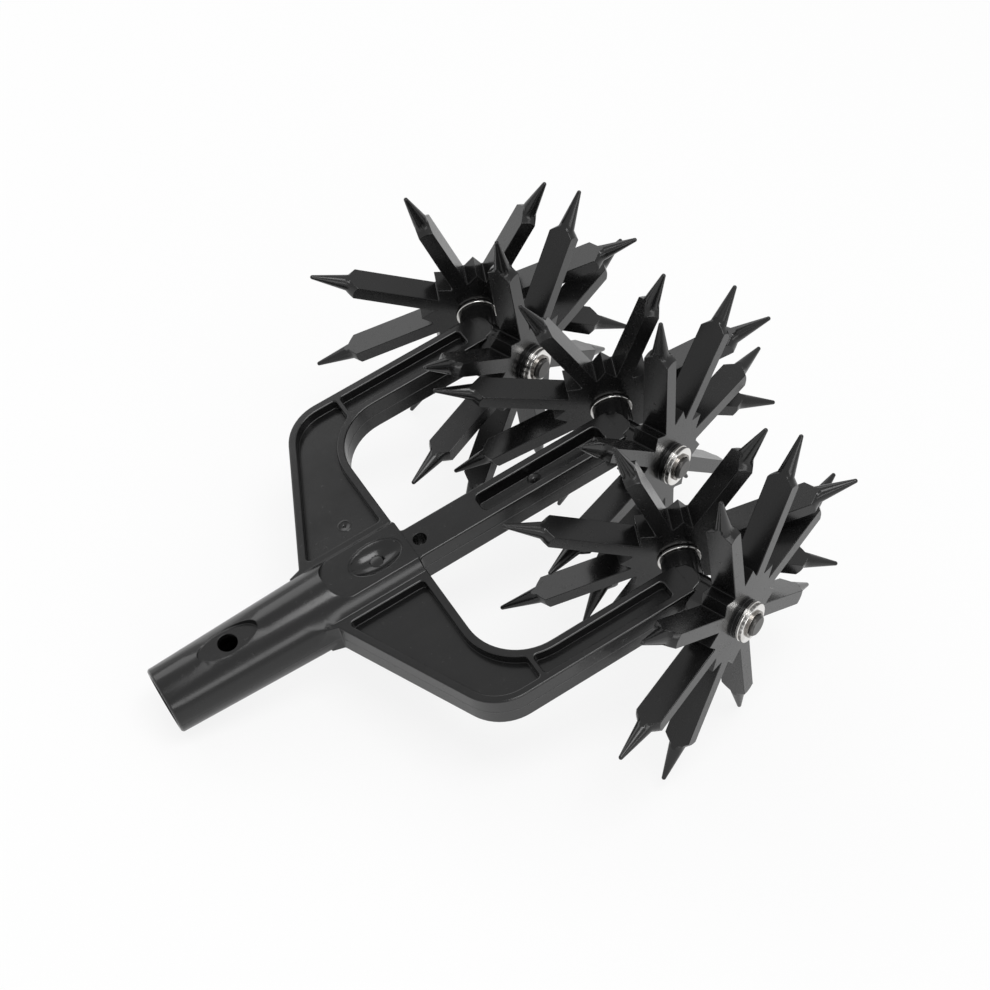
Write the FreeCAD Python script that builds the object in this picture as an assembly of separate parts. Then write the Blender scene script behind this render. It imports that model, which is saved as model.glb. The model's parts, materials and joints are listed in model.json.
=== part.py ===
import FreeCAD, Part
import math
import os

from FreeCAD import Vector

# Head of a hand-pushed rotary cultivator.  A pole plugs into the round socket of a
# moulded three-pronged fork.  Each prong end carries two star wheels on axle pins that
# splay outwards, and the points of all six wheels pass through one another's gaps.
#
# The fork is drawn with X forwards along the socket, Y to the left and Z up, from the
# centre of the socket's mouth.  At the end every piece is tipped nose-up about that
# point, as the head lies on flat ground: on the socket's lower rim and the tine points.
# Lengths are millimetres and angles are degrees.

# socket tube, which widens from its mouth to the round hub
mouth_radius = 13.95
hub_radius = 16.2
taper_end_x = 75.0
socket_radius = 11.2
socket_depth = 70.0
mouth_chamfer = 0.7
hub_front_x = 112.5
hub_edge_chamfer = 0.5

# thumb recess in the top of the tube, with the hole for a pole's spring button
button_x = 31.7
button_radius = 4.0
recess_front_x = 45.3
recess_length = 26.9
recess_width = 12.8
recess_rear_depth = 1.0
recess_front_depth = 2.3
recess_wall_draft = 0.9

# flat pad on top of the hub, with a bowl-shaped dish inside a low lip and a round mark
# in the bowl's floor
pad_height = 12.5
pad_rear_x = 75.3
pad_half_width = 10.4
pad_corner_radius = 8.0
dish_x = 98.2
dish_half_length = 11.8
dish_half_width = 7.35
dish_depth = 3.4
dish_lip_width = 0.6
dish_lip_depth = 0.4
dish_mark_radius = 2.55
dish_mark_depth = 0.9

# fork plate
plate_height = 15.8
plate_edge_chamfer = 0.4
gusset_x = 66.0
gusset_inset = 1.1
wing_root_x = 71.1
wing_root_rise = 0.2
wing_root_rounding = 1.0
wing_rear_angle = 65.4
wing_outer_radius = 20.5
wing_front_x = 112.6
wing_inner_radius = 23.0
crotch_radius = 2.5
nose_corner_radius = 1.0

prong_pitch = 77.0
outer_prong_width = 14.5
outer_axle_x = 200.0
middle_prong_width = 15.8
middle_axle_lead = 18.5

hang_hole_x = 117.8
hang_hole_radius = 2.8

# pockets moulded into both faces, divided by a cross rib where each arm starts
pocket_depth = 4.6
rim_wall = 3.4
pocket_corner_radius = 1.5
pocket_hub_margin = 1.1
rib_x = 123.8
rib_wall = 2.2
arm_pocket_end_gap = 8.3
middle_pocket_depth = 6.0
middle_pocket_draft = 0.7
middle_rim_wall = 3.5
middle_pocket_rear_x = 145.6
middle_pocket_end_gap = 7.1
middle_pocket_radius = 2.6

# marks left by the mould: ejector craters in the floors of the left wing's pocket and
# of the middle prong's, and the stub of a gate on the right gusset
ejector_radius = 2.6
ejector_depth = 0.45
ejector_hole_radius = 0.5
ejector_hole_depth = 0.5
wing_ejector_x = 97.0
wing_ejector_y = 26.7
middle_ejector_x = 171.4
middle_ejector_y = 1.0
gate_x = 68.5
gate_y = -13.8
gate_radius = 0.9
gate_stand = 0.25

# axles
splay_angle = 22.0
pin_radius = 4.5
pin_root = 4.0
pin_end_stand = 1.6
pin_chamfer = 0.7
boss_radius = 7.8
boss_reach = 13.2
boss_chamfer = 0.5

thrust_washer_radius = 8.7
thrust_washer_thickness = 1.2
wear_washer_radius = 8.5
wear_washer_thickness = 1.3
end_washer_radius = 8.3
end_washer_thickness = 1.7
washer_edge = 0.25
washer_bore_clearance = 0.15
side_play = 0.3

clip_radius = 5.7
clip_band = 0.9
clip_thickness = 0.8
clip_tooth_width = 2.0
clip_opening_angle = 80.0
clip_tooth_angle = 100.0
groove_depth = 0.8
groove_play = 0.05
clip_seat_clearance = 0.03

# star wheel
wheel_radius = 75.0
wheel_thickness = 11.0
tine_count = 8
tine_root_width = 6.75
tine_end_width = 6.0
shoulder_radius = 55.5
point_base_radius = 58.5
point_base_width = 6.8
tip_rounding = 0.9
valley_radius = 19.3
valley_half_width = 4.0
tooth_radius = 23.6
collar_radius = 8.4
collar_height = 1.4
bore_clearance = 0.08

# turn of each wheel: from straight up, towards the front, to its nearest point
near_phase = 0.0
pair_phase = -14.0
mesh_phase = 22.5

# how far cutting shapes run past the surfaces that they open
overrun = 1.0
# two points nearer than this count as one
same_point = 0.0001

# sizes that follow
half_plate = plate_height / 2
middle_half = middle_prong_width / 2
outer_half = outer_prong_width / 2
middle_axle_x = outer_axle_x + middle_axle_lead
splay = math.radians(splay_angle)

inner_washer_face = boss_reach + thrust_washer_thickness
wheel_inner_face = inner_washer_face + side_play
wheel_centre = wheel_inner_face + wheel_thickness / 2
collar_face = wheel_inner_face + wheel_thickness + collar_height
wear_washer_face = collar_face + side_play
end_washer_face = wear_washer_face + wear_washer_thickness
clip_face = end_washer_face + end_washer_thickness
pin_end = clip_face + clip_thickness + pin_end_stand

# an axle leaves its prong this far behind the centres of the wheels that it carries
axle_setback = wheel_centre * math.sin(splay)
rest_pitch = math.degrees(math.atan2(wheel_radius - mouth_radius, outer_axle_x))

# (name, middle of its prong, wheel centre's x, side of the prong, phase)
wheel_places = [
    ("left_outer", prong_pitch, outer_axle_x, 1, pair_phase),
    ("left_inner", prong_pitch, outer_axle_x, -1, near_phase),
    ("middle_left", 0, middle_axle_x, 1, mesh_phase),
    ("middle_right", 0, middle_axle_x, -1, mesh_phase + pair_phase),
    ("right_inner", -prong_pitch, outer_axle_x, 1, pair_phase),
    ("right_outer", -prong_pitch, outer_axle_x, -1, near_phase),
]


def outline(corners, z):
    """Closed face through corner points (x, y, radius), each corner rounded."""
    edges = []
    count = len(corners)
    trimmed = []
    for index in range(count):
        x, y, radius = corners[index]
        here = Vector(x, y, z)
        before = Vector(corners[index - 1][0], corners[index - 1][1], z)
        after = Vector(corners[(index + 1) % count][0], corners[(index + 1) % count][1], z)
        back = (before - here).normalize()
        ahead = (after - here).normalize()
        half_angle = back.getAngle(ahead) / 2
        if radius > 0:
            reach = radius / math.tan(half_angle)
            inward = (back + ahead).normalize()
            middle = here + inward * (radius / math.sin(half_angle) - radius)
            trimmed.append((here + back * reach, middle, here + ahead * reach))
        else:
            trimmed.append((here, None, here))
    for index in range(count):
        start, middle, end = trimmed[index]
        last = trimmed[index - 1][2]
        if last.distanceToPoint(start) > same_point:
            edges.append(Part.LineSegment(last, start).toShape())
        if middle is not None:
            edges.append(Part.Arc(start, middle, end).toShape())
    return Part.Face(Part.Wire(edges))


def mirrored_left_right(points):
    """A half outline on the left, followed by its mirror image on the right."""
    return points + [(x, -y, radius) for x, y, radius in reversed(points)]


def prism(face, height):
    return face.extrude(Vector(0, 0, height))


def drafted(corners, low, high, lean):
    """Straight block over an outline that widens upwards by a lean per unit of height."""
    wires = []
    for z in (low, high):
        grow = (z - low) * lean
        wider = []
        for x, y, radius in corners:
            middle_x = sum(corner[0] for corner in corners) / len(corners)
            wider.append((x + math.copysign(grow, x - middle_x), y + math.copysign(grow, y),
                          radius + grow))
        wires.append(outline(wider, z).OuterWire)
    return Part.makeLoft(wires, True, True)


def block(x0, x1, y0, y1, z0, z1):
    return Part.makeBox(x1 - x0, y1 - y0, z1 - z0, Vector(x0, y0, z0))


def turned(profile):
    """Solid of revolution about Z from points (radius, z)."""
    points = [Vector(radius, 0, z) for radius, z in profile]
    face = Part.Face(Part.makePolygon(points + points[:1]))
    return face.revolve(Vector(0, 0, 0), Vector(0, 0, 1), 360)


def ring(inner, outer, z0, thickness, edge):
    """Washer with both outer edges eased."""
    z1 = z0 + thickness
    return turned([(inner, z0), (outer - edge, z0), (outer, z0 + edge),
                   (outer, z1 - edge), (outer - edge, z1), (inner, z1)])


def axle_frame(prong_y, wheel_x, side):
    """Axle line's placement: origin on the prong's middle, Z out along the axle."""
    out = Vector(math.sin(splay), side * math.cos(splay), 0)
    up = Vector(0, 0, 1)
    turn = FreeCAD.Rotation(up, out.cross(up), out, "ZXY")
    return FreeCAD.Placement(Vector(wheel_x - axle_setback, prong_y, 0), turn)


def placed(shape, placement):
    copy = shape.copy()
    copy.Placement = placement.multiply(copy.Placement)
    return copy


# fork
def tube_radius(x):
    """Outer radius of the tapering tube, a distance from its mouth."""
    return mouth_radius + (hub_radius - mouth_radius) * min(x / taper_end_x, 1)


def plate_corners():
    """Outline of the three-pronged plate; each prong ends square across its axles' root."""
    outer_y = prong_pitch + outer_half
    inner_y = prong_pitch - outer_half
    root_y = hub_radius + wing_root_rise
    rear_run = (outer_y - root_y) / math.tan(math.radians(wing_rear_angle))
    outer_end_x = outer_axle_x - axle_setback
    middle_end_x = middle_axle_x - axle_setback
    return mirrored_left_right([
        (gusset_x, tube_radius(gusset_x) - gusset_inset, 0),
        (wing_root_x, root_y, wing_root_rounding),
        (wing_root_x + rear_run, outer_y, wing_outer_radius),
        (outer_end_x, outer_y, nose_corner_radius),
        (outer_end_x, inner_y, nose_corner_radius),
        (wing_front_x, inner_y, wing_inner_radius),
        (wing_front_x, middle_half, crotch_radius),
        (middle_end_x, middle_half, nose_corner_radius),
    ])


def opened(face, radius):
    """The face with its outward corners rounded: shrunk, then grown back."""
    return face.makeOffset2D(-radius).makeOffset2D(radius)


def pocket_zones():
    """Hollow areas of one face in the wings and the outer arms."""
    inside = outline(plate_corners(), 0).makeOffset2D(-rim_wall)
    arm_end = outer_axle_x - axle_setback - arm_pocket_end_gap
    inner_y = prong_pitch - outer_half
    outer_y = prong_pitch + outer_half
    wing_y = hub_radius + pocket_hub_margin
    areas = []
    for side in (1, -1):
        wing = block(gusset_x, rib_x, wing_y, outer_y, -overrun, overrun)
        arm = block(rib_x + rib_wall, arm_end, inner_y, outer_y, -overrun, overrun)
        for zone in (wing, arm):
            if side < 0:
                zone = zone.mirror(Vector(0, 0, 0), Vector(0, 1, 0))
            areas.append(opened(inside.common(zone).Faces[0], pocket_corner_radius))
    return areas


def middle_pocket():
    """Pocket of the middle prong, whose walls lean outwards from its floor."""
    half = middle_half - middle_rim_wall - middle_pocket_draft
    rear_x = middle_pocket_rear_x + middle_pocket_draft
    end_x = middle_axle_x - axle_setback - middle_pocket_end_gap - middle_pocket_draft
    radius = middle_pocket_radius - middle_pocket_draft
    corners = mirrored_left_right([(rear_x, half, radius), (end_x, half, radius)])
    return drafted(corners, half_plate - middle_pocket_depth, half_plate + overrun,
                   middle_pocket_draft / middle_pocket_depth)


def fork_plate():
    plate = prism(outline(plate_corners(), -half_plate), plate_height)
    cutters = [middle_pocket()]
    for area in pocket_zones():
        pocket = prism(area, pocket_depth + overrun)
        pocket.translate(Vector(0, 0, half_plate - pocket_depth))
        cutters.append(pocket)
    below = [cutter.mirror(Vector(0, 0, 0), Vector(0, 0, 1)) for cutter in cutters]
    plate = plate.cut(cutters + below)
    faces = (half_plate, -half_plate)
    rims = [edge for edge in plate.Edges
            if any(abs(edge.BoundBox.ZMin - z) < same_point
                   and abs(edge.BoundBox.ZMax - z) < same_point for z in faces)]
    return plate.makeChamfer(plate_edge_chamfer, rims)


def hub_barrel():
    """Round body of the socket and hub, closed in front."""
    barrel = turned([(0, 0), (mouth_radius - mouth_chamfer, 0),
                     (tube_radius(mouth_chamfer), mouth_chamfer), (hub_radius, taper_end_x),
                     (hub_radius, hub_front_x - hub_edge_chamfer),
                     (hub_radius - hub_edge_chamfer, hub_front_x), (0, hub_front_x)])
    barrel.rotate(Vector(0, 0, 0), Vector(0, 1, 0), 90)
    return barrel


def hub_pad_cut():
    """Material above the flat pad, whose rear corners are rounded."""
    front = hub_front_x + overrun
    return prism(outline([(pad_rear_x, pad_half_width, pad_corner_radius),
                          (front, pad_half_width, 0),
                          (front, -pad_half_width, 0),
                          (pad_rear_x, -pad_half_width, pad_corner_radius)], pad_height),
                 hub_radius - pad_height + overrun)


def dish_cut():
    """Bowl in the pad: part of a long egg shape lying along X above the lip's ledge."""
    ledge = pad_height - dish_lip_depth
    half_length = dish_half_length - dish_lip_width
    half_width = dish_half_width - dish_lip_width
    depth = dish_depth - dish_lip_depth
    across = half_width * half_width / depth
    lift = (across - depth) / 2
    egg_radius = (across + depth) / 2
    shrink = math.sqrt(1 - (lift / egg_radius) ** 2)
    centre = Vector(dish_x, 0, ledge + lift)
    egg = Part.Ellipse(centre, half_length / shrink, egg_radius)
    arc = Part.Arc(egg, 0, math.pi).toShape()
    base = Part.LineSegment(arc.Vertexes[-1].Point, arc.Vertexes[0].Point).toShape()
    bowl = Part.Face(Part.Wire([arc, base])).revolve(centre, Vector(1, 0, 0), 360)
    floor = pad_height - dish_depth - dish_mark_depth
    mark = Part.makeCylinder(dish_mark_radius, dish_depth + dish_mark_depth,
                             Vector(dish_x, 0, floor))
    rim = Part.Ellipse(Vector(dish_x, 0, ledge), dish_half_length, dish_half_width)
    lip = prism(Part.Face(Part.Wire([rim.toShape()])), dish_lip_depth + overrun)
    return bowl.multiFuse([mark, lip])


def recess_cut():
    """Thumb recess: oval with leaning walls and a floor that deepens forwards."""
    rear_x = recess_front_x - recess_length
    centre_x = recess_front_x - recess_length / 2
    crest = tube_radius(button_x)
    low_z = crest - recess_front_depth
    ovals = []
    for z, grow in ((low_z, -recess_wall_draft), (crest + overrun, 0)):
        shape = Part.Ellipse(Vector(centre_x, 0, z), recess_length / 2 + grow,
                             recess_width / 2 + grow).toShape()
        ovals.append(Part.Wire([shape]))
    oval = Part.makeLoft(ovals, True, True)
    side = -recess_width / 2
    floor = Part.Face(Part.makePolygon([
        Vector(rear_x - overrun, side, crest - recess_rear_depth),
        Vector(recess_front_x + overrun, side, low_z),
        Vector(recess_front_x + overrun, side, crest + overrun),
        Vector(rear_x - overrun, side, crest + overrun),
        Vector(rear_x - overrun, side, crest - recess_rear_depth)]))
    return oval.common(floor.extrude(Vector(0, recess_width, 0)))


def ejector_cut(x, y, floor):
    """Round mark of a mould's ejector: a shallow crater about a pinhole."""
    mark = turned([(0, -ejector_depth - ejector_hole_depth),
                   (ejector_hole_radius, -ejector_depth - ejector_hole_depth),
                   (ejector_hole_radius, -ejector_depth), (ejector_radius, 0),
                   (ejector_radius, overrun), (0, overrun)])
    mark.translate(Vector(x, y, floor))
    return mark


def axle_boss():
    return turned([(0, 0), (boss_radius, 0), (boss_radius, boss_reach - boss_chamfer),
                   (boss_radius - boss_chamfer, boss_reach), (0, boss_reach)])


def make_fork():
    gate = Part.makeCylinder(gate_radius, half_plate + gate_stand, Vector(gate_x, gate_y, 0))
    solids = [fork_plate(), hub_barrel().cut(hub_pad_cut()), gate]
    pin_holes = []
    for name, prong_y, wheel_x, side, phase in wheel_places:
        frame = axle_frame(prong_y, wheel_x, side)
        solids.append(placed(axle_boss(), frame))
        hole = Part.makeCylinder(pin_radius, boss_reach, Vector(0, 0, pin_root))
        pin_holes.append(placed(hole, frame))
    body = solids[0].multiFuse(solids[1:])
    socket = Part.makeCylinder(socket_radius, socket_depth + overrun,
                               Vector(-overrun, 0, 0), Vector(1, 0, 0))
    button = Part.makeCylinder(button_radius, hub_radius, Vector(button_x, 0, 0))
    hang = Part.makeCylinder(hang_hole_radius, plate_height + overrun * 2,
                             Vector(hang_hole_x, 0, -half_plate - overrun))
    wing_mark = ejector_cut(wing_ejector_x, wing_ejector_y, half_plate - pocket_depth)
    middle_mark = ejector_cut(middle_ejector_x, middle_ejector_y,
                              half_plate - middle_pocket_depth)
    body = body.cut([socket, button, hang, recess_cut(), dish_cut(), wing_mark,
                     middle_mark] + pin_holes)
    return body.removeSplitter()


# star wheel
def tine():
    """One flat tine along X with shoulders and a round pencil point."""
    half = wheel_thickness / 2
    shoulder = math.hypot(half, tine_end_width / 2)
    blade = Part.Face(Part.makePolygon([
        Vector(collar_radius, -tine_root_width / 2, -half),
        Vector(wheel_radius, -tine_end_width / 2, -half),
        Vector(wheel_radius, tine_end_width / 2, -half),
        Vector(collar_radius, tine_root_width / 2, -half),
        Vector(collar_radius, -tine_root_width / 2, -half)]))
    blade = prism(blade, wheel_thickness)
    nose = wheel_radius - tip_rounding
    lean = math.sqrt(tip_rounding ** 2 / 2)
    start = collar_radius - overrun
    steps = [Vector(start, 0, 0), Vector(start, 0, shoulder), Vector(shoulder_radius, 0, shoulder),
             Vector(point_base_radius, 0, point_base_width / 2), Vector(nose, 0, tip_rounding)]
    edges = [Part.LineSegment(a, b).toShape() for a, b in zip(steps, steps[1:])]
    edges.append(Part.Arc(steps[-1], Vector(nose + lean, 0, lean),
                          Vector(wheel_radius, 0, 0)).toShape())
    edges.append(Part.LineSegment(Vector(wheel_radius, 0, 0), steps[0]).toShape())
    point = Part.Face(Part.Wire(edges)).revolve(Vector(0, 0, 0), Vector(1, 0, 0), 360)
    return blade.common(point)


def make_wheel():
    """Star wheel about Z: tines, a small tooth in each gap, a collar and the bore."""
    half = wheel_thickness / 2
    pitch = 360 / tine_count
    valley = math.asin(valley_half_width / valley_radius)
    rim = []
    for index in range(tine_count):
        middle = math.radians(index * pitch)
        tooth = middle + math.radians(pitch / 2)
        for radius, angle in ((valley_radius, middle - valley), (valley_radius, middle + valley),
                              (tooth_radius, tooth)):
            rim.append(Vector(radius * math.cos(angle), radius * math.sin(angle), -half))
    disc = prism(Part.Face(Part.makePolygon(rim + rim[:1])), wheel_thickness)
    tines = []
    for index in range(tine_count):
        copy = tine()
        copy.rotate(Vector(0, 0, 0), Vector(0, 0, 1), index * pitch)
        tines.append(copy)
    collar = Part.makeCylinder(collar_radius, half + collar_height)
    wheel = disc.multiFuse(tines + [collar])
    bore = Part.makeCylinder(pin_radius + bore_clearance, wheel_thickness + collar_height * 2,
                             Vector(0, 0, -half - collar_height / 2))
    return wheel.cut(bore).removeSplitter()


# axle pieces, all along Z from the middle of the prong
def make_pin():
    groove = pin_radius - groove_depth
    low = clip_face - groove_play
    high = clip_face + clip_thickness + groove_play
    return turned([(0, pin_root), (pin_radius, pin_root), (pin_radius, low), (groove, low),
                   (groove, high), (pin_radius, high), (pin_radius, pin_end - pin_chamfer),
                   (pin_radius - pin_chamfer, pin_end), (0, pin_end)])


def make_clip():
    """Snap ring with three inner teeth and an open side that faces the ground."""
    seat = pin_radius - groove_depth + clip_seat_clearance
    band = clip_radius - clip_band
    body = Part.makeCylinder(clip_radius, clip_thickness)
    body = body.cut(Part.makeCylinder(band, clip_thickness))
    for angle in (0, clip_tooth_angle, -clip_tooth_angle):
        tooth = block(0, band + clip_band / 2, -clip_tooth_width / 2, clip_tooth_width / 2,
                      0, clip_thickness)
        tooth.rotate(Vector(0, 0, 0), Vector(0, 0, 1), angle)
        body = body.fuse(tooth)
    body = body.cut(Part.makeCylinder(seat, clip_thickness))
    half = math.radians(clip_opening_angle / 2)
    far = clip_radius * 2
    wedge = Part.Face(Part.makePolygon([
        Vector(0, 0, 0), Vector(-far * math.cos(half), far * math.sin(half), 0),
        Vector(-far * math.cos(half), -far * math.sin(half), 0), Vector(0, 0, 0)]))
    body = body.cut(prism(wedge, clip_thickness)).removeSplitter()
    body.translate(Vector(0, 0, clip_face))
    return body


def washer(outer, face, thickness):
    return ring(pin_radius + washer_bore_clearance, outer, face, thickness, washer_edge)


def save(name, shape):
    """Tip one piece to the resting pose and write its file."""
    tipped = shape.copy()
    tipped.rotate(Vector(0, 0, 0), Vector(0, 1, 0), -rest_pitch)
    solids = tipped.Solids
    tipped = solids[0] if len(solids) == 1 else Part.makeCompound(solids)
    tipped.exportStep("parts/" + name + ".step")


os.makedirs("parts", exist_ok=True)
save("fork", make_fork())

wheel_shape = make_wheel()
axle_pieces = {
    "axle_pin": make_pin(),
    "thrust_washer": washer(thrust_washer_radius, boss_reach, thrust_washer_thickness),
    "wear_washer": washer(wear_washer_radius, wear_washer_face, wear_washer_thickness),
    "end_washer": washer(end_washer_radius, end_washer_face, end_washer_thickness),
    "retaining_clip": make_clip(),
}
for name, prong_y, wheel_x, side, phase in wheel_places:
    frame = axle_frame(prong_y, wheel_x, side)
    # seen along its own axle, a wheel on the right turns the other way to reach forwards
    spin = FreeCAD.Rotation(Vector(0, 0, 1), side * phase)
    seat = frame.multiply(FreeCAD.Placement(Vector(0, 0, wheel_centre), spin))
    save("star_wheel_" + name, placed(wheel_shape, seat))
    for piece, shape in axle_pieces.items():
        save(piece + "_" + name, placed(shape, frame))
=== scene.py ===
"""Visual model of a rotary cultivator head, lying on a pale studio floor."""

from __future__ import annotations

import json
import logging
import math
from dataclasses import dataclass, field
from enum import Enum

import bmesh
import bpy
from mathutils import Matrix, Vector

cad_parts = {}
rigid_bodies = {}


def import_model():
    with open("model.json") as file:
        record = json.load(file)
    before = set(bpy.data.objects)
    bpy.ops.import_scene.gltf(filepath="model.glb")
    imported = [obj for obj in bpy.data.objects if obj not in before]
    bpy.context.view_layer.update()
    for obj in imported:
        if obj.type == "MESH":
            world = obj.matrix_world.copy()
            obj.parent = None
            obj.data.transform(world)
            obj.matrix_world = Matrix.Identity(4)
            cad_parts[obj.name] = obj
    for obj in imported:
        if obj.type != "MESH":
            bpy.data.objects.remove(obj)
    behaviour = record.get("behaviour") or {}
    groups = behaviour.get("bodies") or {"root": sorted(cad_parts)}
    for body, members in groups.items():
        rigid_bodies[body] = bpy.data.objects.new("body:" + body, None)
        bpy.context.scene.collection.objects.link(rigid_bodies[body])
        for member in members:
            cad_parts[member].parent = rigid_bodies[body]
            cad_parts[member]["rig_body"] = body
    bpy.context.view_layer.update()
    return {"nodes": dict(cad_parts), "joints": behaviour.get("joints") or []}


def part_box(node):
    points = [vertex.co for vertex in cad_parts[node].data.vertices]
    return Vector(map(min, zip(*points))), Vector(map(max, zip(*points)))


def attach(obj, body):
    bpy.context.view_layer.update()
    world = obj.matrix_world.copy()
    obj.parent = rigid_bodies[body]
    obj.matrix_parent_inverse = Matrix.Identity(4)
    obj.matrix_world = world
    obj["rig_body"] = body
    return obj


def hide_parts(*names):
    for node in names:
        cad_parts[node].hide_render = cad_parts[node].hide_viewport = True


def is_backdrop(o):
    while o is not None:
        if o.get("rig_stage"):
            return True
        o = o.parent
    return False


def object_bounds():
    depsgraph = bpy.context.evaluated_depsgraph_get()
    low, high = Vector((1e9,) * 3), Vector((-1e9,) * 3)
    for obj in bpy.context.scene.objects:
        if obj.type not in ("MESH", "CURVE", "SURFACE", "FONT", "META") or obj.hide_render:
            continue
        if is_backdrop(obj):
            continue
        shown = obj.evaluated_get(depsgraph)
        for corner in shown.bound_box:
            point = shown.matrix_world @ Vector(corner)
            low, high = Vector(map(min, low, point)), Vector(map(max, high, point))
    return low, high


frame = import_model()

LOG = logging.getLogger("cultivator")
MM = 0.001

FORK_BODY = "fork"
FORK_PITCH = math.radians(16.975)

JOIN_DISTANCE = 0.002 * MM
FLAT_ANGLE = math.radians(0.3)
FLAT_FACE_WEIGHT = 75
TURNED_JOIN_DISTANCE = 0.001 * MM
TURNED_EDGE_SEGMENTS = 2
TURNED_CORNER = 30.0
LAMP_WATTS_PER_AREA = 4.0


class Place(Enum):
    """Where each star wheel sits: the prong and the side of its end."""

    LEFT_OUTER = "left_outer"
    LEFT_INNER = "left_inner"
    MIDDLE_LEFT = "middle_left"
    MIDDLE_RIGHT = "middle_right"
    RIGHT_INNER = "right_inner"
    RIGHT_OUTER = "right_outer"


class Slot(Enum):
    """The record's material slots."""

    FORK = "fork_plastic"
    WHEEL = "wheel_plastic"
    BRIGHT = "plated_steel"
    BLACK = "black_steel"


@dataclass(frozen=True)
class Pattern:
    """How fine and how rough a noise pattern is."""

    scale: float
    detail: float = 2.0
    roughness: float = 0.5


class Sock:
    """A shader socket that is used like a number in an expression."""

    def __init__(self, shader: Shader, socket: bpy.types.NodeSocket) -> None:
        """Keeps the socket and the shader that it belongs to.

        Args:
            shader: The shader whose node tree holds the socket.
            socket: The output socket to wrap.
        """
        self.shader = shader
        self.socket = socket

    def _maths(self, operation: str, first: object, second: object) -> Sock:
        """Adds one Math node.

        Args:
            operation: The Math node's operation.
            first: Its first value or socket.
            second: Its second value or socket.

        Returns:
            The node's result.
        """
        return self.shader.add("ShaderNodeMath", {"operation": operation}, {0: first, 1: second})

    def __add__(self, other: object) -> Sock:
        """Returns self + other."""
        return self._maths("ADD", self, other)

    def __radd__(self, other: object) -> Sock:
        """Returns other + self."""
        return self._maths("ADD", other, self)

    def __mul__(self, other: object) -> Sock:
        """Returns self * other."""
        return self._maths("MULTIPLY", self, other)

    def __rmul__(self, other: object) -> Sock:
        """Returns other * self."""
        return self._maths("MULTIPLY", other, self)


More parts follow.
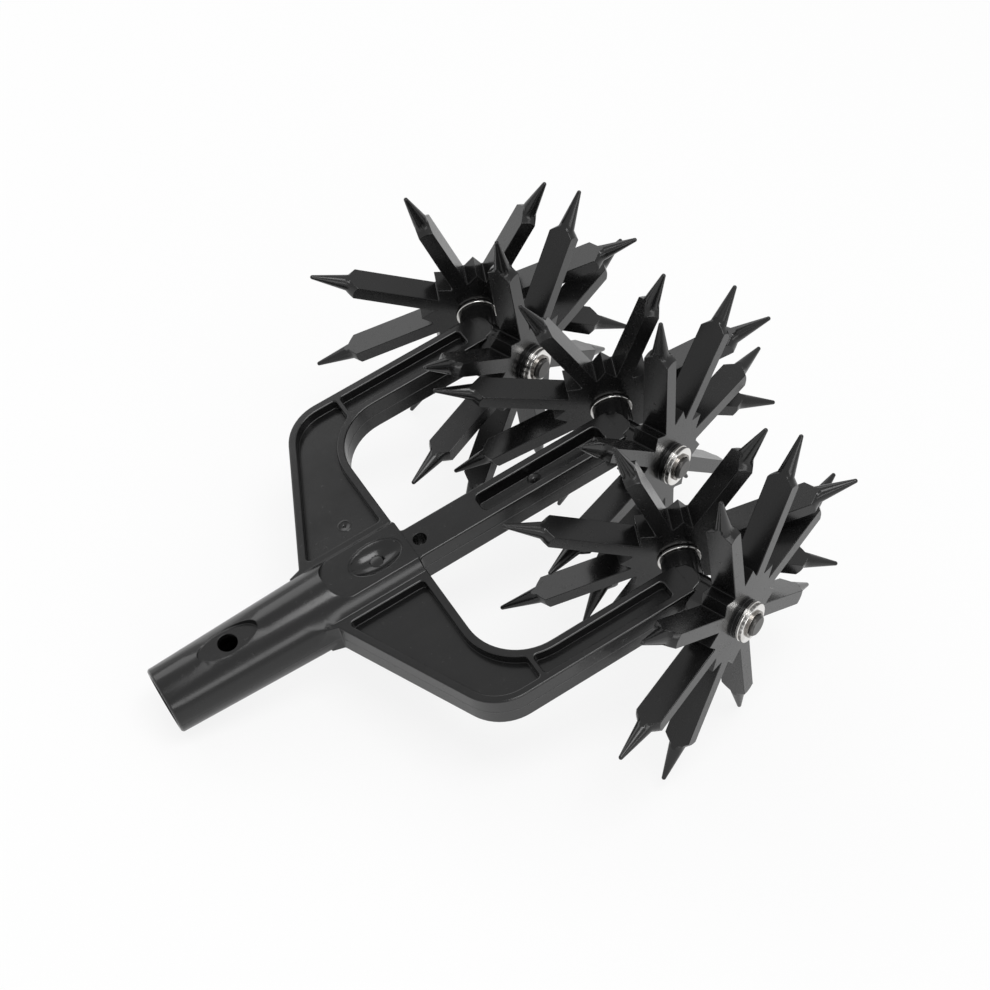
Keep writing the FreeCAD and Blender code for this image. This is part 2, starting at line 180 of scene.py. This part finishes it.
class Shader:
    """The node tree of one material."""

    def __init__(self, name: str) -> None:
        """Makes the material with its one surface shader.

        Args:
            name: The material's name.
        """
        self.material = bpy.data.materials.new(name)
        self.material.use_nodes = True
        self.tree = self.material.node_tree
        self.surface = self.tree.nodes["Principled BSDF"]

    def join(self, value: object, target: bpy.types.NodeSocket) -> None:
        """Links a socket into an input, or sets the input's own value.

        Args:
            value: A wrapped socket, or a number, colour or vector.
            target: The input.
        """
        if isinstance(value, Sock):
            self.tree.links.new(value.socket, target)
        else:
            target.default_value = value

    def add(
        self,
        kind: str,
        settings: dict[str, object] | None = None,
        sockets: dict[object, object] | None = None,
        output: int | str = 0,
    ) -> Sock:
        """Adds a node of any kind.

        Args:
            kind: The node's type.
            settings: Its settings, or a colour ramp's stops, set before its sockets.
            sockets: Values or links of its inputs.
            output: Which of its outputs is wanted.

        Returns:
            The wanted output.
        """
        node = self.tree.nodes.new(kind)
        for key, value in (settings or {}).items():
            if key == "stops":
                self._set_stops(node.color_ramp, value)
            else:
                setattr(node, key, value)
        for key, value in (sockets or {}).items():
            self.join(value, node.inputs[key])
        return Sock(self, node.outputs[output])

    def _set_stops(self, ramp: bpy.types.ColorRamp, stops: list[tuple[float, float]]) -> None:
        """Sets a grey ramp's stops.

        Args:
            ramp: The colour ramp.
            stops: Each stop's place and its grey.
        """
        while len(ramp.elements) < len(stops):
            ramp.elements.new(0.5)
        for element, (place, grey) in zip(ramp.elements, stops):
            element.position = place
            element.color = (grey, grey, grey, 1.0)

    def ramp(self, value: Sock, *stops: tuple[float, float]) -> Sock:
        """Passes a value through a grey ramp and returns the result."""
        return self.add("ShaderNodeValToRGB", {"stops": list(stops)}, {"Fac": value})

    def coordinates(
        self,
        scale: tuple[float, float, float] = (1.0, 1.0, 1.0),
        turn: tuple[float, float, float] = (0.0, 0.0, 0.0),
        place: tuple[float, float, float] = (0.0, 0.0, 0.0),
    ) -> Sock:
        """Gives the object's own coordinates, moved, turned and stretched.

        Args:
            scale: The stretch along each axis.
            turn: The turn about each axis, in radians.
            place: The point of the object that becomes the pattern's origin.

        Returns:
            The mapped coordinates.
        """
        own = self.add("ShaderNodeTexCoord", output="Object")
        return self.add(
            "ShaderNodeMapping",
            {"vector_type": "TEXTURE"},
            {
                "Vector": own,
                "Location": place,
                "Rotation": turn,
                "Scale": tuple(1.0 / part for part in scale),
            },
        )

    def noise(self, where: Sock, pattern: Pattern) -> Sock:
        """Adds a noise pattern and returns its grey value."""
        return self.add(
            "ShaderNodeTexNoise",
            sockets={
                "Vector": where,
                "Scale": pattern.scale,
                "Detail": pattern.detail,
                "Roughness": pattern.roughness,
            },
        )

    def blend(self, share: Sock, first: tuple[float, ...], second: tuple[float, ...]) -> Sock:
        """Mixes two colours by a share and returns the colour."""
        return self.add(
            "ShaderNodeMix",
            {"data_type": "RGBA"},
            {"Factor": share, "A": (*first, 1.0), "B": (*second, 1.0)},
            output=2,
        )

    def bump(self, height: Sock, strength: float, distance: float) -> Sock:
        """Turns a height into a bumped normal and returns it."""
        return self.add(
            "ShaderNodeBump",
            sockets={"Height": height, "Strength": strength, "Distance": distance},
        )

    def cover(self, share: Sock, strength: float) -> None:
        """Lays a share of white glow over the surface.

        Args:
            share: How much of the surface glows, from 0 to 1.
            strength: The glow's strength, where 1 is white.
        """
        glow = self.add("ShaderNodeEmission", sockets={"Strength": strength}).socket
        plain = self.surface.outputs[0]
        mixed = self.add(
            "ShaderNodeMixShader",
            sockets={0: share, 1: Sock(self, plain), 2: Sock(self, glow)},
        )
        self.join(mixed, self.tree.nodes["Material Output"].inputs["Surface"])

    def dress(self, **sockets: object) -> bpy.types.Material:
        """Sets the surface's sockets, named with underscores for spaces.

        Args:
            **sockets: Values or links, such as Base_Color or Roughness.

        Returns:
            The finished material.
        """
        for key, value in sockets.items():
            self.join(value, self.surface.inputs[key.replace("_", " ")])
        return self.material


@dataclass(frozen=True)
class MouldedBlack:
    """Black polypropylene straight from the mould."""

    name: str
    deep: tuple[float, float, float] = (0.0042, 0.0042, 0.0043)
    pale: tuple[float, float, float] = (0.0075, 0.0075, 0.0077)
    roughness: float = 0.2
    sheen_change: float = 0.06
    cloud: Pattern = Pattern(26.0, 4.0, 0.55)
    cloud_share: float = 0.6
    tone_stops: tuple[tuple[float, float], ...] = ((0.35, 0.0), (0.65, 1.0))
    grain: Pattern = Pattern(1500.0, 3.0, 0.6)
    grain_depth: float = 0.03 * MM
    speck: Pattern = Pattern(480.0)
    speck_stops: tuple[tuple[float, float], ...] = ((0.62, 0.0), (0.74, 1.0))
    speck_share: float = 0.3
    speck_roughness: float = 0.08
    flow: Pattern = Pattern(1.0, 3.0)
    flow_depth_share: float = 0.8
    bump_strength: float = 0.35
    refraction: float = 1.5
    flow_direction: tuple[float, float, float] = (20.0, 110.0, 110.0)
    parting_pitch: float = 0.0
    parting_width: float = 0.35 * MM
    parting_height: float = 0.0

    def build(self) -> bpy.types.Material:
        """Makes the material.

        Returns:
            The material.
        """
        shader = Shader(self.name)
        own = shader.coordinates()
        cloudy = shader.noise(own, self.cloud)
        flow = shader.noise(shader.coordinates(scale=self.flow_direction), self.flow)
        grain = shader.noise(own, self.grain)
        specks = shader.ramp(shader.noise(own, self.speck), *self.speck_stops)
        mottle = cloudy * self.cloud_share + flow * (1.0 - self.cloud_share)
        tone = shader.ramp(mottle, *self.tone_stops)
        gloss = tone * self.sheen_change + (self.roughness - self.sheen_change / 2)
        height = grain * self.grain_depth + flow * (self.grain_depth * self.flow_depth_share)
        if self.parting_height:
            height = height + self.parting_line(shader) * self.parting_height
        paleness = tone * (1.0 - self.speck_share) + specks * self.speck_share
        return shader.dress(
            Base_Color=shader.blend(paleness, self.deep, self.pale),
            Roughness=gloss + specks * self.speck_roughness,
            IOR=self.refraction,
            Normal=shader.bump(height, self.bump_strength, 1.0),
        )

    def parting_line(self, shader: Shader) -> Sock:
        """Finds the seam where the two halves of the mould met.

        Args:
            shader: The shader that draws it.

        Returns:
            1 on the seam, falling to 0 beside it.
        """
        level = shader.coordinates(turn=(0.0, self.parting_pitch, 0.0))
        height = shader.add("ShaderNodeSeparateXYZ", sockets={"Vector": level}, output="Z")
        away = shader.add("ShaderNodeMath", {"operation": "ABSOLUTE"}, {0: height})
        return shader.add(
            "ShaderNodeMapRange",
            {"interpolation_type": "SMOOTHSTEP"},
            {"Value": away, "From Max": self.parting_width, "To Min": 1.0, "To Max": 0.0},
        )


@dataclass(frozen=True)
class PlatedSteel:
    """Bright plated washers, turned on a lathe."""

    name: str
    centre: tuple[float, float, float]
    turn: tuple[float, float, float]
    deep: tuple[float, float, float] = (0.56, 0.53, 0.5)
    pale: tuple[float, float, float] = (0.84, 0.83, 0.81)
    roughness: float = 0.14
    ring_scale: float = 900.0
    ring_distortion: float = 1.2
    ring_detail: float = 2.0
    ring_depth: float = 0.01 * MM
    ring_bump: float = 0.2
    ring_darkening: float = 0.15
    ring_roughness: float = 0.04
    stain: Pattern = Pattern(130.0, 3.0)
    stain_stops: tuple[tuple[float, float], ...] = ((0.45, 0.0), (0.7, 1.0))
    stain_darkening: float = 0.5
    stain_roughness: float = 0.1

    def build(self) -> bpy.types.Material:
        """Makes the material.

        Returns:
            The material.
        """
        shader = Shader(self.name)
        level = shader.coordinates(turn=self.turn, place=self.centre)
        rings = shader.add(
            "ShaderNodeTexWave",
            {"wave_type": "RINGS", "rings_direction": "Z"},
            {
                "Vector": level,
                "Scale": self.ring_scale,
                "Distortion": self.ring_distortion,
                "Detail": self.ring_detail,
            },
        )
        stain = shader.ramp(shader.noise(level, self.stain), *self.stain_stops)
        dark = stain * self.stain_darkening + rings * self.ring_darkening
        dull = stain * self.stain_roughness + rings * self.ring_roughness
        return shader.dress(
            Base_Color=shader.blend(dark, self.pale, self.deep),
            Metallic=1.0,
            Roughness=dull + self.roughness,
            Normal=shader.bump(rings, self.ring_bump, self.ring_depth),
        )


@dataclass(frozen=True)
class BlackedSteel:
    """Dark oiled steel of the axle pins, or of their clips."""

    name: str
    deep: tuple[float, float, float] = (0.035, 0.034, 0.033)
    pale: tuple[float, float, float] = (0.15, 0.147, 0.142)
    roughness: float = 0.34
    metal: float = 0.85
    stain: Pattern = Pattern(520.0, 4.0, 0.65)
    stain_roughness: float = 0.2
    pits: Pattern = Pattern(2600.0)
    pit_bump: float = 0.3
    pit_depth: float = 0.02 * MM

    def build(self) -> bpy.types.Material:
        """Makes the material.

        Returns:
            The material.
        """
        shader = Shader(self.name)
        own = shader.coordinates()
        stain = shader.noise(own, self.stain)
        pits = shader.noise(own, self.pits)
        smoothest = self.roughness - self.stain_roughness / 2
        return shader.dress(
            Base_Color=shader.blend(stain, self.deep, self.pale),
            Metallic=self.metal,
            Roughness=stain * self.stain_roughness + smoothest,
            Normal=shader.bump(pits, self.pit_bump, self.pit_depth),
        )


@dataclass(frozen=True)
class PaleFloor:
    """The white table under the head, which keeps a soft shadow."""

    name: str = "pale_floor"
    colour: tuple[float, float, float] = (0.8, 0.8, 0.8)
    white_share: float = 0.85
    mirrored_share: float = 0.35
    cloud: Pattern = Pattern(3.0)
    cloud_change: float = 1.01
    roughness: float = 0.9

    def build(self) -> bpy.types.Material:
        """Makes the material.

        Returns:
            The material.
        """
        shader = Shader(self.name)
        cloudy = shader.noise(shader.coordinates(), self.cloud)
        seen = shader.add("ShaderNodeLightPath", output="Is Camera Ray")
        mirrored = shader.add("ShaderNodeLightPath", output="Is Glossy Ray")
        through = shader.add("ShaderNodeLightPath", output="Is Transmission Ray")
        shader.cover(seen * self.white_share + (mirrored + through) * self.mirrored_share, 1.0)
        paler = tuple(part * self.cloud_change for part in self.colour)
        return shader.dress(
            Base_Color=shader.blend(cloudy, self.colour, paler),
            Roughness=self.roughness,
        )


def axle_of(place: Place) -> tuple[Vector, Vector]:
    """Finds a wheel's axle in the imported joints.

    Args:
        place: The wheel's place.

    Returns:
        The wheel's centre and the axle's direction, pointing away from the prong.
    """
    joint = next(j for j in frame["joints"] if j["name"] == f"{place.value}_wheel_spin")
    centre = Vector(joint["pos_m"])
    axis = Vector(joint["axis"]).normalized()
    low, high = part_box(f"retaining_clip_{place.value}")
    outward = (low + high) / 2 - centre
    return centre, axis if axis.dot(outward) > 0 else -axis


def linked_piece(mesh: bmesh.types.BMesh, name: str) -> bpy.types.Object:
    """Turns a finished mesh into an object of the scene, and frees the mesh.

    Args:
        mesh: The mesh.
        name: The object's name.

    Returns:
        The object.
    """
    data = bpy.data.meshes.new(name)
    mesh.to_mesh(data)
    mesh.free()
    piece = bpy.data.objects.new(name, data)
    bpy.context.scene.collection.objects.link(piece)
    return piece


def merged_copy(node: str, name: str) -> bpy.types.Object:
    """Copies a CAD node into a new piece with joined faces, and hides the node.

    Args:
        node: The CAD node.
        name: The new piece's name.

    Returns:
        The piece, at the node's place and on no body yet.
    """
    mesh = bmesh.new()
    mesh.from_mesh(frame["nodes"][node].data)
    bmesh.ops.remove_doubles(mesh, verts=mesh.verts, dist=JOIN_DISTANCE)
    bmesh.ops.dissolve_limit(
        mesh,
        angle_limit=FLAT_ANGLE,
        verts=mesh.verts,
        edges=mesh.edges,
    )
    piece = linked_piece(mesh, name)
    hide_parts(node)
    return piece


def soften(
    piece: bpy.types.Object,
    width: float,
    segments: int,
    corner: float = 24.0,
) -> None:
    """Rounds a piece's sharp edges and shades the rest smoothly.

    Args:
        piece: The piece.
        width: The rounding's width.
        segments: How many faces cross it.
        corner: The least angle of an edge that counts as sharp, in degrees.
    """
    piece.data.shade_smooth()
    piece.data.set_sharp_from_angle(angle=math.radians(corner))
    rounding = piece.modifiers.new("rounded_edges", "BEVEL")
    rounding.width = width
    rounding.segments = segments
    rounding.limit_method = "ANGLE"
    rounding.angle_limit = math.radians(corner)
    rounding.use_clamp_overlap = False
    flattening = piece.modifiers.new("flat_faces_first", "WEIGHTED_NORMAL")
    flattening.keep_sharp = True
    flattening.weight = FLAT_FACE_WEIGHT


def finish_piece(
    piece: bpy.types.Object,
    body: str,
    material: bpy.types.Material,
) -> None:
    """Gives a piece its body and material, and reports it.

    Args:
        piece: The piece.
        body: The CAD body that it rides on.
        material: The material.
    """
    piece.data.materials.clear()
    piece.data.materials.append(material)
    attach(piece, body)
    LOG.info("%s on %s: %d faces", piece.name, body, len(piece.data.polygons))


def turned(
    name: str,
    corners: list[tuple[float, float]],
    centre: Vector,
    axis: Vector,
    edge: float,
    steps: int = 96,
) -> bpy.types.Object:
    """Turns a closed section round an axis, as on a lathe.

    Args:
        name: The piece's name.
        corners: The section's corners as radius and height along the axis.
        centre: The point where the height is zero.
        axis: The axis, pointing the way that the height grows.
        edge: The width of its rounded edges.
        steps: How many flats go round it.

    Returns:
        The piece, in its place.
    """
    mesh = bmesh.new()
    points = [mesh.verts.new((radius, 0.0, height)) for radius, height in corners]
    sides = zip(points, points[1:] + points[:1])
    edges = [mesh.edges.new(side) for side in sides if any(point.co.x > 0 for point in side)]
    bmesh.ops.spin(
        mesh,
        geom=points + edges,
        cent=(0.0, 0.0, 0.0),
        axis=(0.0, 0.0, 1.0),
        angle=math.tau,
        steps=steps,
        use_merge=True,
        use_duplicate=False,
    )
    bmesh.ops.remove_doubles(mesh, verts=mesh.verts, dist=TURNED_JOIN_DISTANCE)
    bmesh.ops.recalc_face_normals(mesh, faces=mesh.faces)
    upright = axis.to_track_quat("Z", "Y").to_matrix().to_4x4()
    mesh.transform(Matrix.Translation(centre) @ upright)
    piece = linked_piece(mesh, name)
    soften(piece, edge, TURNED_EDGE_SEGMENTS, TURNED_CORNER)
    return piece


@dataclass(frozen=True)
class MouldMark:
    """A round mark that the mould left, in the fork's level frame and in millimetres."""

    name: str
    place: tuple[float, float, float]
    corners: tuple[tuple[float, float], ...]
    edge_width: float = 0.08 * MM
    steps: int = 64

    def build(self, pitch: float) -> bpy.types.Object:
        """Turns the mark and tips it with the fork.

        Args:
            pitch: How far the fork is tipped nose up, in radians.

        Returns:
            The mark's piece.
        """
        tip = Matrix.Rotation(-pitch, 3, "Y")
        section = [(radius * MM, height * MM) for radius, height in self.corners]
        centre = tip @ (Vector(self.place) * MM)
        return turned(self.name, section, centre, tip.col[2], self.edge_width, self.steps)


@dataclass(frozen=True)
class ProngNose:
    """The web that fills the space between one prong's two bosses, in millimetres."""

    name: str
    place: tuple[float, float, float]
    outline: tuple[tuple[float, float], ...] = (
        (-1.5, 6.9),
        (-1.5, -6.9),
        (3.6, -5.2),
        (5.2, -2.2),
        (5.2, 2.2),
        (3.6, 5.2),
    )
    half_height: float = 7.93
    edge_width: float = 0.8 * MM
    edge_segments: int = 4

    def build(self, pitch: float) -> bpy.types.Object:
        """Raises the web from its outline and tips it with the fork.

        Args:
            pitch: How far the fork is tipped nose up, in radians.

        Returns:
            The web's piece.
        """
        mesh = bmesh.new()
        corners = [mesh.verts.new((x, y, -self.half_height)) for x, y in self.outline]
        floor = mesh.faces.new(corners)
        raised = bmesh.ops.extrude_face_region(mesh, geom=[floor])
        tops = [item for item in raised["geom"] if isinstance(item, bmesh.types.BMVert)]
        bmesh.ops.translate(mesh, verts=tops, vec=(0.0, 0.0, 2 * self.half_height))
        bmesh.ops.recalc_face_normals(mesh, faces=mesh.faces)
        tip = Matrix.Rotation(-pitch, 4, "Y") @ Matrix.Translation(Vector(self.place) * MM)
        mesh.transform(tip @ Matrix.Scale(MM, 4))
        piece = linked_piece(mesh, self.name)
        soften(piece, self.edge_width, self.edge_segments)
        return piece


CRATER_LIP = ((2.15, -0.3), (2.95, -0.3), (2.95, 0.0), (2.7, 0.14), (2.35, 0.14), (2.15, 0.0))
RAISED_DISC = ((0.0, -0.6), (2.62, -0.6), (2.62, 0.22), (2.45, 0.28), (0.0, 0.2))


@dataclass
class Fork:
    """The moulded fork with its pole socket."""

    edge_width: float = 0.2 * MM
    edge_segments: int = 2
    pitch: float = FORK_PITCH
    finish: MouldedBlack = MouldedBlack(
        "black_fork_plastic",
        parting_pitch=-FORK_PITCH,
        parting_height=0.35 * MM,
    )
    marks: tuple[MouldMark, ...] = (
        MouldMark("dish_mark", (98.2, 0.0, 9.1), RAISED_DISC),
        MouldMark("wing_crater_lip", (97.0, 26.7, 3.3), CRATER_LIP),
        MouldMark("middle_crater_lip", (171.4, 1.0, 1.9), CRATER_LIP),
    )
    noses: tuple[ProngNose, ...] = (
        ProngNose("left_prong_nose", (192.433, 77.0, 0.0)),
        ProngNose("middle_prong_nose", (210.933, 0.0, 0.0)),
        ProngNose("right_prong_nose", (192.433, -77.0, 0.0)),
    )

    def build(self) -> bpy.types.Object:
        """Builds the fork from its CAD solid with softened edges.

        Returns:
            The fork's piece.
        """
        piece = merged_copy(FORK_BODY, "fork_moulding")
        soften(piece, self.edge_width, self.edge_segments)
        return piece

    def dress(self) -> None:
        """Builds the fork, its marks and its prongs' webs, and gives them their finish."""
        material = self.finish.build()
        finish_piece(self.build(), FORK_BODY, material)
        for detail in (*self.marks, *self.noses):
            finish_piece(detail.build(self.pitch), FORK_BODY, material)


@dataclass
class StarWheel:
    """One moulded star wheel with eight pointed tines."""

    place: Place
    material: bpy.types.Material
    edge_width: float = 0.16 * MM
    edge_segments: int = 2
    corner: float = 36.0

    @property
    def node(self) -> str:
        """Names the wheel's CAD node."""
        return f"star_wheel_{self.place.value}"

    def build(self) -> bpy.types.Object:
        """Builds the wheel from its CAD solid with softened edges.

        Returns:
            The wheel's piece.
        """
        piece = merged_copy(self.node, f"{self.place.value}_star_wheel")
        soften(piece, self.edge_width, self.edge_segments, self.corner)
        return piece

    def dress(self) -> None:
        """Builds the wheel and gives it its finish."""
        body = frame["nodes"][self.node]["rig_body"]
        finish_piece(self.build(), body, self.material)


@dataclass(frozen=True)
class Washer:
    """One washer of an axle, placed along it from the wheel's centre."""

    name: str
    start: float
    thickness: float
    radius: float
    bore: float = 4.65 * MM
    edge: float = 0.25 * MM

    def corners(self) -> list[tuple[float, float]]:
        """Lists its section's corners.

        Returns:
            Each corner's radius and height along the axis.
        """
        top = self.start + self.thickness
        low, high = (self.bore, self.start), (self.radius, self.start)
        return [low, high, (self.radius, top), (self.bore, top)]


@dataclass
class AxleStack:
    """The pin, washers and clip that carry one star wheel."""

    place: Place
    black: bpy.types.Material
    spring: bpy.types.Material
    washers: tuple[Washer, ...] = (
        Washer("thrust_washer", -7.0 * MM, 1.2 * MM, 8.7 * MM),
        Washer("wear_washer", 7.2 * MM, 1.3 * MM, 8.5 * MM),
        Washer("end_washer", 8.5 * MM, 1.7 * MM, 8.3 * MM),
    )
    pin_radius: float = 4.5 * MM
    pin_start: float = -16.2 * MM
    pin_end: float = 12.6 * MM
    pin_chamfer: float = 0.7 * MM
    groove_radius: float = 3.7 * MM
    groove_start: float = 10.15 * MM
    groove_end: float = 11.05 * MM
    edge_width: float = 0.06 * MM
    clip_segments: int = 1
    clip_corner: float = 30.0

    def build_pin(self) -> bpy.types.Object:
        """Turns the axle pin with its clip groove and chamfered end.

        Returns:
            The pin's piece.
        """
        rim = self.pin_radius - self.pin_chamfer
        piece = turned(
            f"{self.place.value}_axle_pin",
            [
                (0.0, self.pin_start),
                (self.pin_radius, self.pin_start),
                (self.pin_radius, self.groove_start),
                (self.groove_radius, self.groove_start),
                (self.groove_radius, self.groove_end),
                (self.pin_radius, self.groove_end),
                (self.pin_radius, self.pin_end - self.pin_chamfer),
                (rim, self.pin_end),
                (0.0, self.pin_end),
            ],
            *axle_of(self.place),
            self.edge_width,
        )
        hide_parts(f"axle_pin_{self.place.value}")
        return piece

    def dress(self) -> None:
        """Builds the stack's pieces and gives them their finishes."""
        centre, axis = axle_of(self.place)
        turn = axis.to_track_quat("Z", "Y").to_euler()
        bright = PlatedSteel(f"plated_steel_{self.place.value}", tuple(centre), tuple(turn)).build()
        for washer in self.washers:
            name = f"{self.place.value}_{washer.name}"
            piece = turned(name, washer.corners(), centre, axis, washer.edge)
            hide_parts(f"{washer.name}_{self.place.value}")
            finish_piece(piece, FORK_BODY, bright)
        clip = merged_copy(
            f"retaining_clip_{self.place.value}",
            f"{self.place.value}_retaining_clip",
        )
        soften(clip, self.edge_width, self.clip_segments, self.clip_corner)
        finish_piece(clip, FORK_BODY, self.spring)
        finish_piece(self.build_pin(), FORK_BODY, self.black)


@dataclass(frozen=True)
class Softbox:
    """A soft rectangular lamp that faces the head."""

    name: str
    azimuth: float
    elevation: float
    distance: float
    size: tuple[float, float]
    strength: float
    roll: float = 0.0

    def build(self, target: Vector) -> None:
        """Makes the lamp.

        Args:
            target: The point that it faces.
        """
        data = bpy.data.lights.new(self.name, "AREA")
        data.shape = "RECTANGLE"
        data.size, data.size_y = self.size
        data.energy = self.strength * self.size[0] * self.size[1] * LAMP_WATTS_PER_AREA
        lamp = bpy.data.objects.new(self.name, data)
        bpy.context.scene.collection.objects.link(lamp)
        turn, rise = math.radians(self.azimuth), math.radians(self.elevation)
        level = math.cos(rise)
        away = Vector((math.cos(turn) * level, math.sin(turn) * level, math.sin(rise)))
        lamp.location = target + away * self.distance
        lamp.rotation_mode = "QUATERNION"
        lamp.rotation_quaternion = away.to_track_quat("Z", "Y") @ Matrix.Rotation(
            math.radians(self.roll), 3, "Z"
        ).to_quaternion()


@dataclass
class Studio:
    """The camera, floor, lamps and backdrop."""

    lens: float = 80.905
    sensor: float = 36.0
    shift: tuple[float, float] = (-0.00138, -0.00403)
    camera_place: tuple[float, float, float] = (-0.238524, -0.478567, 0.694823)
    camera_right: tuple[float, float, float] = (0.847027, -0.51796, 0.119424)
    camera_up: tuple[float, float, float] = (0.309787, 0.663598, 0.680933)
    seen_range: tuple[float, float] = (0.01, 100.0)
    floor_half: float = 15.0
    floor_squares: int = 8
    floor_gap: float = 0.05 * MM
    sky: float = 0.65
    seen_sky: float = 1.0
    floor: PaleFloor = PaleFloor()
    lamps: tuple[Softbox, ...] = (
        Softbox("overhead_strip", -100.0, 80.0, 1.6, (0.95, 0.62), 4.8, 10.0),
        Softbox("back_box", 98.0, 35.0, 1.8, (1.6, 0.85), 1.3),
        Softbox("front_box", -92.0, 24.0, 2.0, (1.6, 0.45), 2.2),
    )

    def place_camera(self) -> None:
        """Makes the camera that sees the head as the photograph does."""
        data = bpy.data.cameras.new("camera")
        data.lens = self.lens
        data.sensor_width = self.sensor
        data.shift_x, data.shift_y = self.shift
        data.clip_start, data.clip_end = self.seen_range
        camera = bpy.data.objects.new("camera", data)
        bpy.context.scene.collection.objects.link(camera)
        right, up = Vector(self.camera_right), Vector(self.camera_up)
        axes = Matrix((right, up, right.cross(up))).transposed()
        camera.matrix_world = Matrix.Translation(self.camera_place) @ axes.to_4x4()
        bpy.context.scene.camera = camera

    def lay_floor(self) -> None:
        """Makes the floor under the head's lowest point."""
        low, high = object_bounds()
        mesh = bmesh.new()
        squares = self.floor_squares
        bmesh.ops.create_grid(
            mesh, x_segments=squares, y_segments=squares, size=self.floor_half
        )
        middle = (low + high) / 2
        place = (middle.x, middle.y, low.z - self.floor_gap)
        bmesh.ops.translate(mesh, verts=mesh.verts, vec=place)
        floor = linked_piece(mesh, "floor")
        floor.data.materials.append(self.floor.build())
        floor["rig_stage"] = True

    def surround(self) -> None:
        """Makes the surroundings, which light the head softly and look white."""
        world = bpy.data.worlds.new("surroundings")
        world.use_nodes = True
        nodes, links = world.node_tree.nodes, world.node_tree.links
        lighting, seen = nodes["Background"], nodes.new("ShaderNodeBackground")
        for sky, strength in ((lighting, self.sky), (seen, self.seen_sky)):
            sky.inputs["Color"].default_value = (1.0, 1.0, 1.0, 1.0)
            sky.inputs["Strength"].default_value = strength
        rays = nodes.new("ShaderNodeLightPath")
        both = nodes.new("ShaderNodeMixShader")
        links.new(rays.outputs["Is Camera Ray"], both.inputs[0])
        links.new(lighting.outputs[0], both.inputs[1])
        links.new(seen.outputs[0], both.inputs[2])
        links.new(both.outputs[0], nodes["World Output"].inputs["Surface"])
        bpy.context.scene.world = world

    def light(self) -> None:
        """Makes the lamps round the head."""
        low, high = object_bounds()
        for lamp in self.lamps:
            lamp.build((low + high) / 2)

    def build(self) -> None:
        """Sets the stage round the finished head."""
        self.place_camera()
        self.lay_floor()
        self.light()
        self.surround()
        bpy.context.scene.view_settings.view_transform = "Standard"


@dataclass
class Cultivator:
    """The whole head: its fork, wheels and axles."""

    fork: Fork = field(default_factory=Fork)
    wheel_finish: MouldedBlack = MouldedBlack(
        "black_wheel_plastic",
        roughness=0.24,
        flow_direction=(60.0, 60.0, 60.0),
    )
    axle_finish: BlackedSteel = BlackedSteel("black_axle_steel")
    clip_finish: BlackedSteel = BlackedSteel(
        "spring_clip_steel",
        deep=(0.12, 0.11, 0.1),
        pale=(0.4, 0.38, 0.36),
        roughness=0.24,
    )

    def dress(self) -> None:
        """Builds and dresses every sub-assembly."""
        self.fork.dress()
        wheel_material = self.wheel_finish.build()
        axle_material = self.axle_finish.build()
        clip_material = self.clip_finish.build()
        for place in Place:
            StarWheel(place, wheel_material).dress()
            AxleStack(place, axle_material, clip_material).dress()


def main() -> None:
    """Builds the head and its stage."""
    logging.basicConfig(level=logging.INFO, format="%(name)s: %(message)s")
    Cultivator().dress()
    Studio().build()


if __name__ == "__main__":
    main()
